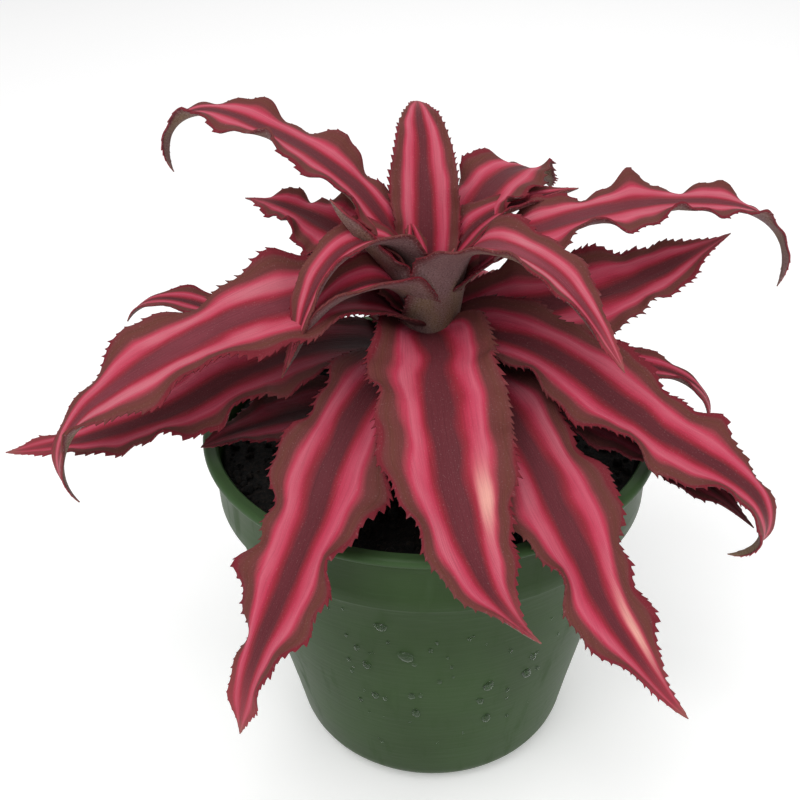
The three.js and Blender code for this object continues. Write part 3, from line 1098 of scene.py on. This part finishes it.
@dataclass(frozen=True)
class Leaf:
    """One leaf, grown from its midrib. Lengths are in mm and angles in degrees.

    Heading is the compass direction from +X, and down is how far its root is below the
    stem's tip. Lift, turn and roll are its slope, bend and twist at five even steps.
    """

    name: str
    heading: float
    down: float
    length: float
    width: float
    lift: Steps
    turn: Steps = LEVEL
    roll: Steps = LEVEL
    ruffle: Ruffle = Ruffle()
    cup: float = 0.12
    fullness: float = 1.8
    sheath: float = 0.7
    look: Look = Look()

    # What every leaf shares. Lengths are in mm, and the rest are shares of the leaf's
    # length, of its width, of its thickness or of a wave.
    widest_at: float = 0.38
    waist: float = 0.62
    waist_reach: float = 0.07
    base_cup: float = 0.22
    crowded_base_cup: float = -0.04
    base_cup_reach: float = 0.3
    groove_depth: float = 0.35
    groove_width: float = 0.1
    ruffle_shift: float = 0.37
    ruffle_gain: float = 1.2
    pinch: float = 0.6
    fine_waves: float = 2.7
    fine_depth: float = 0.25
    calm: float = 0.3
    crowded_calm: float = 0.5
    covered_to: float = 0.38
    covered_blend: float = 0.14
    fade_reach: float = 0.3
    scallop: float = 0.07
    scallop_depth_limit: float = 2.6
    scallop_reach: float = 0.25
    crowded_below: float = 12
    clearance: float = 0.6
    thickness: float = 1.15
    margin_thinning: float = 0.55
    tip_thickness: float = 0.3
    tip_reach: float = 0.12
    tooth_thickness: float = 0.2
    tooth_pitch: float = 1.75
    tooth_spacing: tuple[float, float] = (0.7, 1.3)
    tooth_height: float = 0.72
    tooth_fade: float = 0.08
    spine_steps: int = 180

    def _along(self, values: Steps, share: np.ndarray) -> np.ndarray:
        """Read a smooth curve through five values.

        Args:
            values: The values at even steps from root to tip.
            share: Shares of the length.

        Returns:
            The curve's value at each share.
        """
        last = len(values) - 1
        place = np.minimum(share * last, last - 1e-9)
        step = np.floor(place).astype(int)
        t = place - step
        padded = np.array(
            (2 * values[0] - values[1], *values, 2 * values[-1] - values[-2]), float
        )
        p0, p1, p2, p3 = (padded[step + offset] for offset in range(4))
        bend = 2 * p0 - 5 * p1 + 4 * p2 - p3
        twist = 3 * p1 - p0 - 3 * p2 + p3
        return 0.5 * (2 * p1 + (p2 - p0) * t + bend * t * t + twist * t ** 3)

    @staticmethod
    def _ease(share: np.ndarray, reach: float) -> np.ndarray:
        """Go from 0 at the root to 1 at a reach, and stay there."""
        return np.sin(np.minimum(share / reach, 1) * np.pi / 2)

    def _directions(self, share: np.ndarray) -> tuple[np.ndarray, np.ndarray, np.ndarray]:
        """Work out which way the blade faces.

        Args:
            share: Shares of the length.

        Returns:
            Unit directions onward, across, and out of its upper side, at each share.
        """
        slope = np.radians(self._along(self.lift, share))
        course = np.radians(self.heading + self._along(self.turn, share))
        twist = np.radians(self._along(self.roll, share))[:, None]
        onward = np.stack(
            (np.cos(slope) * np.cos(course), np.cos(slope) * np.sin(course), np.sin(slope)), 1
        )
        level = np.stack((-np.sin(course), np.cos(course), 0 * course), 1)
        upward = np.cross(onward, level)
        across = level * np.cos(twist) + upward * np.sin(twist)
        return onward, across, np.cross(onward, across)

    def _midrib(self, share: np.ndarray, stem: Stem) -> np.ndarray:
        """Follow the midrib from the stem.

        Args:
            share: Shares of the length.
            stem: The stem that it grows from.

        Returns:
            A point in mm at each share.
        """
        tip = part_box("stem")[1].z / MM
        low = stem.low_radius / MM + self.clearance
        high = stem.high_radius / MM + self.clearance
        course = math.radians(self.heading)
        rise = 1 - (self.down - 1) / (stem.low_below_tip / MM - 1)
        radius = low + (high - low) * min(max(rise, 0.0), 1.0)
        start = np.array(
            (radius * math.cos(course), radius * math.sin(course), tip - self.down)
        )
        middles = (np.arange(self.spine_steps) + 0.5) / self.spine_steps
        onward, _, _ = self._directions(middles)
        steps = np.cumsum(onward * self.length / self.spine_steps, axis=0)
        points = np.vstack((start, start + steps))
        knots = np.linspace(0, 1, self.spine_steps + 1)
        return np.stack([np.interp(share, knots, points[:, axis]) for axis in range(3)], 1)

    def _half_width(self, share: np.ndarray) -> np.ndarray:
        """Work out half the blade's width.

        Args:
            share: Shares of the length.

        Returns:
            Half the width in mm at each share.
        """
        rise = self._ease(share, self.widest_at)
        past = np.maximum((share - self.widest_at) / (1 - self.widest_at), 0)
        swell = self.sheath + (1 - self.sheath) * rise
        waist = self.waist + (1 - self.waist) * self._ease(share, self.waist_reach)
        return 0.5 * self.width * swell * waist * (1 - past ** self.fullness)

    def _wave(self, share: np.ndarray, across: np.ndarray) -> np.ndarray:
        """Work out the wave of each margin, with pinched crests and round troughs.

        Args:
            share: Shares of the length.
            across: Shares of the half width, below 0 on one side.

        Returns:
            The wave at each point, from about -1 to about 1.
        """
        shift = self.ruffle.phase + np.where(across < 0, 0.0, self.ruffle_shift)
        turns = self.ruffle.waves * share + shift
        pinched = 1 - 2 * np.abs(np.sin(np.pi * (turns - 0.25)))
        slow = (1 - self.pinch) * np.sin(2 * np.pi * turns) + self.pinch * pinched
        fine_turns = self.fine_waves * self.ruffle.waves * share + 2 * shift
        fine = self.fine_depth * np.sin(2 * np.pi * fine_turns) * np.abs(across)
        swell = 0.8 + 0.3 * np.sin(2 * np.pi * (1.3 * share + 2 * shift))
        return slow * swell + fine

    def _stand_out(self, share: np.ndarray, across: np.ndarray) -> np.ndarray:
        """Work out how far points stand out of the blade's middle.

        Args:
            share: Shares of the length.
            across: Shares of the half width, below 0 on one side.

        Returns:
            The height in mm at each point, from its hollow, its waves and its groove.
        """
        near_base = np.maximum(1 - share / self.base_cup_reach, 0)
        base_cup = self.crowded_base_cup if self.crowded else self.base_cup
        cup = self.cup + base_cup * near_base ** 2
        hollow = cup * 2 * self._half_width(share) * across ** 2
        start = self._ease(share, self.crowded_calm if self.crowded else self.calm) ** 2
        fade = np.minimum((1 - share) / self.fade_reach, 1)
        ridge = np.exp(-((across / self.groove_width) ** 2))
        groove = self.groove_depth * ridge * fade * start
        size = self.ruffle_gain * self.ruffle.depth * start * fade
        wave = self._wave(share, across)
        if self.crowded:
            free = np.clip((share - self.covered_to) / self.covered_blend, 0, 1)
            wave = free * wave + (1 - free) * np.minimum(wave, 0)
        return hollow + size * np.abs(across) ** 2.5 * wave - groove

    def _columns(self, rng: random.Random) -> tuple[np.ndarray, np.ndarray]:
        """Lay out the teeth of both margins.

        Args:
            rng: The leaf's own random numbers.

        Returns:
            Where the columns of points lie along the leaf, and how far each margin's teeth
            reach out at each column, in mm.
        """
        count = max(round(self.length / self.tooth_pitch), 6)
        pitches = np.array([rng.uniform(*self.tooth_spacing) for _ in range(count)])
        starts = np.concatenate(([0.0], np.cumsum(pitches)))
        starts /= starts[-1]
        share = np.array(
            [
                starts[tooth] + (starts[tooth + 1] - starts[tooth]) * part
                for tooth in range(count)
                for part in TOOTH_COLUMNS
            ]
            + [1.0]
        )
        size = self.tooth_height * min(max(self.width / 20, 0.55), 1.15)
        reach = np.zeros((2, len(share)))
        for side in range(2):
            for column, along in enumerate(share):
                tooth, part = divmod(column + 2 * side, len(TOOTH_COLUMNS))
                grown = 0.55 + 0.7 * random.Random(tooth * 2 + side + self.seed).random()
                fade = min(along / self.tooth_fade, (1 - along) / self.tooth_fade, 1.0)
                early = 1.3 - 0.5 * along
                reach[side, column] = TOOTH_HEIGHTS[part] * grown * fade * early * size
        return share, reach

    @property
    def crowded(self) -> bool:
        """Whether its base lies under younger leaves, with no room to curl or wave."""
        return self.down > self.crowded_below

    @property
    def seed(self) -> int:
        """A number of the leaf's own for its random choices."""
        return int(self.heading * 31 + self.length * 7 + self.down)

    def _points(
        self, stem: Stem, along: np.ndarray, across: np.ndarray, teeth: np.ndarray
    ) -> np.ndarray:
        """Shape the blade.

        A margin that faces the back flares at its crests, and any other is drawn in there.

        Args:
            stem: The stem that it grows from.
            along: Each point's share of the length.
            across: Each point's share of the half width.
            teeth: How far a tooth carries each point, in mm.

        Returns:
            The points in mm.
        """
        onward, sideways, out = self._directions(along)
        rearward = sideways[:, 1] * np.sign(across)
        drawn_in = self.scallop * min(self.ruffle.depth, self.scallop_depth_limit)
        drawn_in = drawn_in * np.minimum(along / self.scallop_reach, 1)
        drawn_in *= np.clip(1 - 5 * rearward, -1, 1)
        scallop = 1 - drawn_in * self._wave(along, across) * across ** 2
        reach = across * self._half_width(along) * scallop + np.sign(across) * teeth
        points = self._midrib(along, stem) + sideways * reach[:, None]
        points += out * self._stand_out(along, across)[:, None]
        return points + onward * (TOOTH_LEAN * teeth)[:, None]

    def build(self, stem: Stem, skins: Sequence[bpy.types.Material]) -> bpy.types.Object:
        """Model the leaf and dress it.

        Args:
            stem: The stem that it grows from.
            skins: The finishes of its upper and under side.

        Returns:
            The piece.
        """
        share, reach = self._columns(random.Random(self.seed))
        rows = [-1.0, *(-row for row in reversed(ROWS)), *ROWS[1:], 1.0]
        deselect()
        bpy.ops.mesh.primitive_grid_add(
            x_subdivisions=len(share) - 1, y_subdivisions=len(rows) - 1, size=1.0
        )
        piece = bpy.context.object
        piece.name = self.name + "_blade"
        mesh = piece.data
        flat = np.zeros(len(mesh.vertices) * 3)
        mesh.vertices.foreach_get("co", flat)
        flat = flat.reshape(-1, 3)
        column = np.rint((flat[:, 0] + 0.5) * (len(share) - 1)).astype(int)
        row = np.rint((flat[:, 1] + 0.5) * (len(rows) - 1)).astype(int)
        along = share[column]
        across = np.array(rows)[row]
        toothed = (row == 0) | (row == len(rows) - 1)
        teeth = np.where(toothed, reach[(across > 0).astype(int), column], 0.0)
        points = self._points(stem, along, across, teeth)
        mesh.vertices.foreach_set("co", (points * MM).ravel())
        self._mark(piece, along, across, toothed)
        for skin in skins:
            mesh.materials.append(skin)
        apply_modifier(
            piece,
            "SOLIDIFY",
            thickness=self.thickness * MM,
            offset=0.0,
            vertex_group="thick",
            material_offset=1,
            material_offset_rim=0,
        )
        tidy_mesh(piece, weld=0.002 * MM)
        smooth(piece, 70)
        settle(piece, Slot.LEAF, self.name)
        return piece

    def _mark(
        self,
        piece: bpy.types.Object,
        along: np.ndarray,
        across: np.ndarray,
        toothed: np.ndarray,
    ) -> None:
        """Give the points what the finishes read, and how thick the blade is there.

        Args:
            piece: The leaf.
            along: Each point's share of the length.
            across: Each point's share of the half width.
            toothed: Whether the point is on a tooth.
        """
        look = self.look
        glow = np.zeros_like(along)
        for spot_along, spot_across, spot_reach in look.spots:
            far = ((along - spot_along) / spot_reach) ** 2 + ((across - spot_across) / 0.3) ** 2
            glow += np.exp(-far)
        # Painted shade: over a leaf that lies in shade, and strongest at its base, under the
        # younger leaves.
        dark = look.dark + look.base_painted_shade * np.exp(-((along / look.base_reach) ** 2))
        number = np.full_like(along, self.seed % 97)
        layers = {
            "blade": (along, across, np.zeros_like(along)),
            "tone_and_shade": (np.full_like(along, look.pale), np.minimum(dark, 0.95), glow),
            "grain": (along * self.length, across * self._half_width(along), number * 13.0),
        }
        for name, columns in layers.items():
            layer = piece.data.attributes.new(name, "FLOAT_VECTOR", "POINT")
            layer.data.foreach_set("vector", np.stack(columns, 1).ravel())
        weight = 1 - self.margin_thinning * across ** 2
        from_tip = np.minimum((1 - along) / self.tip_reach, 1)
        weight *= self.tip_thickness + (1 - self.tip_thickness) * from_tip
        weight = np.where(toothed, self.tooth_thickness, weight)
        group = piece.vertex_groups.new(name="thick")
        for index, value in enumerate(weight):
            group.add((index,), float(value), "REPLACE")


SLIGHT = Ruffle(0.6, 3)

# Every leaf, from the youngest in the heart of the rosette to the oldest at its foot.
# A look's darkness numbers are painted shade: low and rear leaves lie in shade, and every base
# lies under younger leaves.
LEAVES = (
    Leaf(
        "leaf_heart_front", 340, 1, 13, 6, (88, 84, 78, 74, 70), ruffle=Ruffle(0, 1), cup=0.08
    ),
    Leaf(
        "leaf_heart_rear", 120, 1, 17, 8, (88, 82, 74, 66, 60), ruffle=Ruffle(0, 1), cup=0.08
    ),
    Leaf(
        "leaf_young_folded", 30, -1, 44, 10, (72, 42, 12, 0, 0),
        ruffle=Ruffle(0.6, 2.5), cup=0.25, look=Look(pale=0.2, dark=0.1),
    ),
    Leaf(
        "leaf_young_upright", 205, 3, 35, 10, (65, 60, 55, 55, 60),
        ruffle=Ruffle(0.6, 2.5), cup=0.25,
    ),
    Leaf(
        "leaf_young_arching", 212, 1, 57, 11, (95, 50, -20, -62, -60),
        turn=(0, 0, 0, 5, 5), ruffle=SLIGHT, cup=0.28, look=Look(pale=0.6),
    ),
    Leaf(
        "leaf_young_low", 232, 8, 52, 13, (85, 50, -15, -55, -60),
        turn=(0, -10, -35, -40, -30), ruffle=SLIGHT, cup=0.28,
    ),
    Leaf(
        "leaf_young_right", 303, 12, 74, 17, (88, 72, 5, -42, -50),
        turn=(0, 5, 22, 22, 20), ruffle=Ruffle(1, 4), cup=0.2, sheath=1, look=Look(pale=0.95),
    ),
    Leaf(
        "leaf_rear_upright", 92, 1, 53, 15, (85, 68, 50, 20, -10),
        ruffle=Ruffle(0.8, 3), cup=0.16, sheath=0.6, look=Look(pale=0.4),
    ),
    Leaf(
        "leaf_rear_high", 51, 4, 60, 22, (72, 46, 20, -20, -50),
        ruffle=Ruffle(2.4, 3), sheath=0.5, look=Look(pale=0.35),
    ),
    Leaf(
        "leaf_left_high", 162, 3, 88, 18, (88, 52, 27, 0, -115),
        ruffle=Ruffle(1.6, 4.5, 0.3), look=Look(pale=0.45),
    ),
    Leaf(
        "leaf_right_high", 8, 3, 101, 17, (62, 18, 3, -22, -108),
        roll=(0, 5, 5, 0, 0), ruffle=Ruffle(1.9, 5, 0.4), look=Look(pale=0.6),
    ),
    Leaf(
        "leaf_front", 270, 8, 84, 26.5, (20, -8, -32, -42, -35),
        turn=(0, 2, 8, 28, 80), roll=(0, 0, -5, -10, -20), sheath=0.8, fullness=2.2,
        look=Look(pale=0.4, spots=((0.62, 0.55, 0.07),)),
    ),
    Leaf(
        "leaf_left", 201, 7, 105, 21, (58, 0, -18, -35, -120),
        roll=(-10, -25, -20, -8, 0), ruffle=Ruffle(2.1, 3.2, 0.29),
        look=Look(pale=0.75, base_painted_shade=0.6, base_reach=0.2),
    ),
    Leaf(
        "leaf_right", 332, 10, 98, 22, (25, -18, -28, -32, -160),
        roll=(8, 12, 15, 8, 0), ruffle=Ruffle(1.6, 4, 0.3),
        look=Look(pale=0.3, base_painted_shade=0.65, base_reach=0.26),
    ),
    Leaf(
        "leaf_left_rear", 155, 6, 50, 19, (75, 42, 22, 12, 0),
        roll=(0, -12, -18, -10, 0), ruffle=Ruffle(2.6, 4),
    ),
    Leaf(
        "leaf_right_rear", 12, 11, 70, 23, (22, 3, 10, 20, 30),
        roll=(10, 25, 25, 20, 0), look=Look(pale=0.3, base_painted_shade=0.6, base_reach=0.25),
    ),
    Leaf("leaf_back_left", 122, 13, 60, 18, (28, 2, -18, -34, -46)),
    Leaf("leaf_back_right", 63, 14, 60, 18, (28, 2, -16, -32, -42)),
    Leaf(
        "leaf_front_left", 243, 15, 104, 22, (35, -10, -45, -55, -80),
        turn=(0, 2, -3, -20, -28), ruffle=Ruffle(2.8, 4, 0.55), fullness=2.6,
        look=Look(pale=0.35, base_painted_shade=0.95, base_reach=0.3),
    ),
    Leaf("leaf_back", 90, 18, 60, 18, (26, 0, -18, -34, -46)),
    Leaf(
        "leaf_front_right", 300, 17, 96, 24, (25, -18, -40, -40, -20),
        turn=(0, 0, 0, 5, 15), ruffle=Ruffle(2.2, 3.5, 0.1), fullness=1.9,
        look=Look(pale=0.45, base_painted_shade=0.9, base_reach=0.3, spots=((0.8, 0.45, 0.08),)),
    ),
    Leaf(
        "leaf_left_low", 193, 16, 94, 22, (38, -8, -22, -10, 5),
        roll=(0, -10, -15, -10, 0), ruffle=Ruffle(1.8, 4.5), fullness=2,
        look=Look(pale=0.3, dark=0.05, base_painted_shade=0.9, base_reach=0.3),
    ),
    Leaf(
        "leaf_far_right", 350, 21, 66, 13, (20, 5, 5, -20, -95),
        ruffle=Ruffle(1.2, 3), look=Look(pale=0.2, dark=0.15),
    ),
    Leaf(
        "leaf_far_left", 173, 18, 69, 12, (16, 8, 20, 14, -60),
        ruffle=Ruffle(1.2, 3), fullness=2.6, look=Look(pale=0.2, dark=0.1),
    ),
    Leaf(
        "leaf_right_low", 331, 18, 76, 17, (8, -8, -17, -25, -38),
        roll=(0, 5, 8, 8, 0), look=Look(pale=0.0, dark=0.7),
    ),
    Leaf(
        "leaf_back_left_low", 143, 24, 56, 16, (14, 0, -14, -26, -40),
        look=Look(pale=0.1, dark=0.3),
    ),
    Leaf(
        "leaf_back_right_low", 38, 25, 58, 16, (14, 2, -12, -24, -36),
        look=Look(pale=0.1, dark=0.3),
    ),
    Leaf(
        "leaf_left_under", 197, 27, 47, 22, (6, 2, -2, -8, -15),
        ruffle=Ruffle(1, 3.5), look=Look(pale=0.0, dark=0.6),
    ),
)


# ---------------------------------------------------------------------------
# Studio
# ---------------------------------------------------------------------------


@dataclass(frozen=True)
class Studio:
    """A pale floor, soft light from all round, and the camera."""

    focal_mm: float = 50.4
    sensor_mm: float = 36.0
    look_at: tuple[float, float, float] = (-7 * MM, 0.0, 94.3 * MM)
    distance: float = 266 * MM
    pitch: float = 32.3
    roll: float = -1.4
    floor_size: float = 8.0
    floor_glow: float = 0.22
    sky: float = 0.5

    def _floor(self) -> None:
        """Lay the floor."""
        deselect()
        bpy.ops.mesh.primitive_plane_add(size=self.floor_size, location=(0, 0, 0))
        floor = bpy.context.object
        floor.name = "studio_floor"
        bench = Bench("studio_white")
        white = bench.finish(
            shade(252, 252, 252),
            0.9,
            Emission_Color=(1, 1, 1, 1),
            Emission_Strength=self.floor_glow,
        )
        floor.data.materials.append(white)

    def _lamp(
        self, name: str, spot: tuple[float, float, float], size: float, power: float
    ) -> None:
        """Hang a square lamp that faces the plant.

        Args:
            name: The lamp's name.
            spot: Where it hangs.
            size: The side of its square.
            power: Its power in watts.
        """
        data = bpy.data.lights.new(name, "AREA")
        data.size = size
        data.energy = power
        lamp = bpy.data.objects.new(name, data)
        aim = Vector(self.look_at) - Vector(spot)
        lamp.matrix_world = (
            Matrix.Translation(spot) @ aim.to_track_quat("-Z", "Y").to_matrix().to_4x4()
        )
        bpy.context.scene.collection.objects.link(lamp)

    def _camera(self) -> None:
        """Place the camera."""
        data = bpy.data.cameras.new("camera")
        data.lens = self.focal_mm
        data.sensor_width = self.sensor_mm
        data.clip_start = 0.01
        camera = bpy.data.objects.new("camera", data)
        pitch = math.radians(self.pitch)
        roll = math.radians(self.roll)
        forward = Vector((0, math.cos(pitch), -math.sin(pitch)))
        level = Vector((1, 0, 0))
        upright = Vector((0, math.sin(pitch), math.cos(pitch)))
        right = level * math.cos(roll) + upright * math.sin(roll)
        up = upright * math.cos(roll) - level * math.sin(roll)
        turn = Matrix((right, up, -forward)).transposed().to_4x4()
        spot = Vector(self.look_at) - forward * self.distance
        camera.matrix_world = Matrix.Translation(spot) @ turn
        bpy.context.scene.collection.objects.link(camera)
        bpy.context.scene.camera = camera

    def build(self) -> None:
        """Set up the floor, the light and the camera."""
        self._floor()
        self._lamp("key", (-0.25, -0.5, 0.95), 0.6, 5.2)
        self._lamp("fill", (0.6, -0.4, 0.6), 0.7, 1.3)
        self._lamp("back", (0.1, 0.7, 0.8), 0.8, 1.6)
        world = bpy.data.worlds.new("studio")
        world.use_nodes = True
        sky = world.node_tree.nodes["Background"]
        sky.inputs["Color"].default_value = (1, 1, 1, 1)
        sky.inputs["Strength"].default_value = self.sky
        bpy.context.scene.world = world
        bpy.context.scene.view_settings.view_transform = "Standard"
        self._camera()


def main() -> None:
    """Build the studio and every piece."""
    logging.basicConfig(level=logging.INFO, format="%(message)s")
    Studio().build()
    pot = Pot()
    pot.build()
    Drops(pot).build()
    Soil().build()
    stem = Stem()
    stem.build()
    skins = (BladeFinish().material(), UndersideFinish().material())
    for leaf in LEAVES:
        leaf.build(stem, skins)


if __name__ == "__main__":
    main()
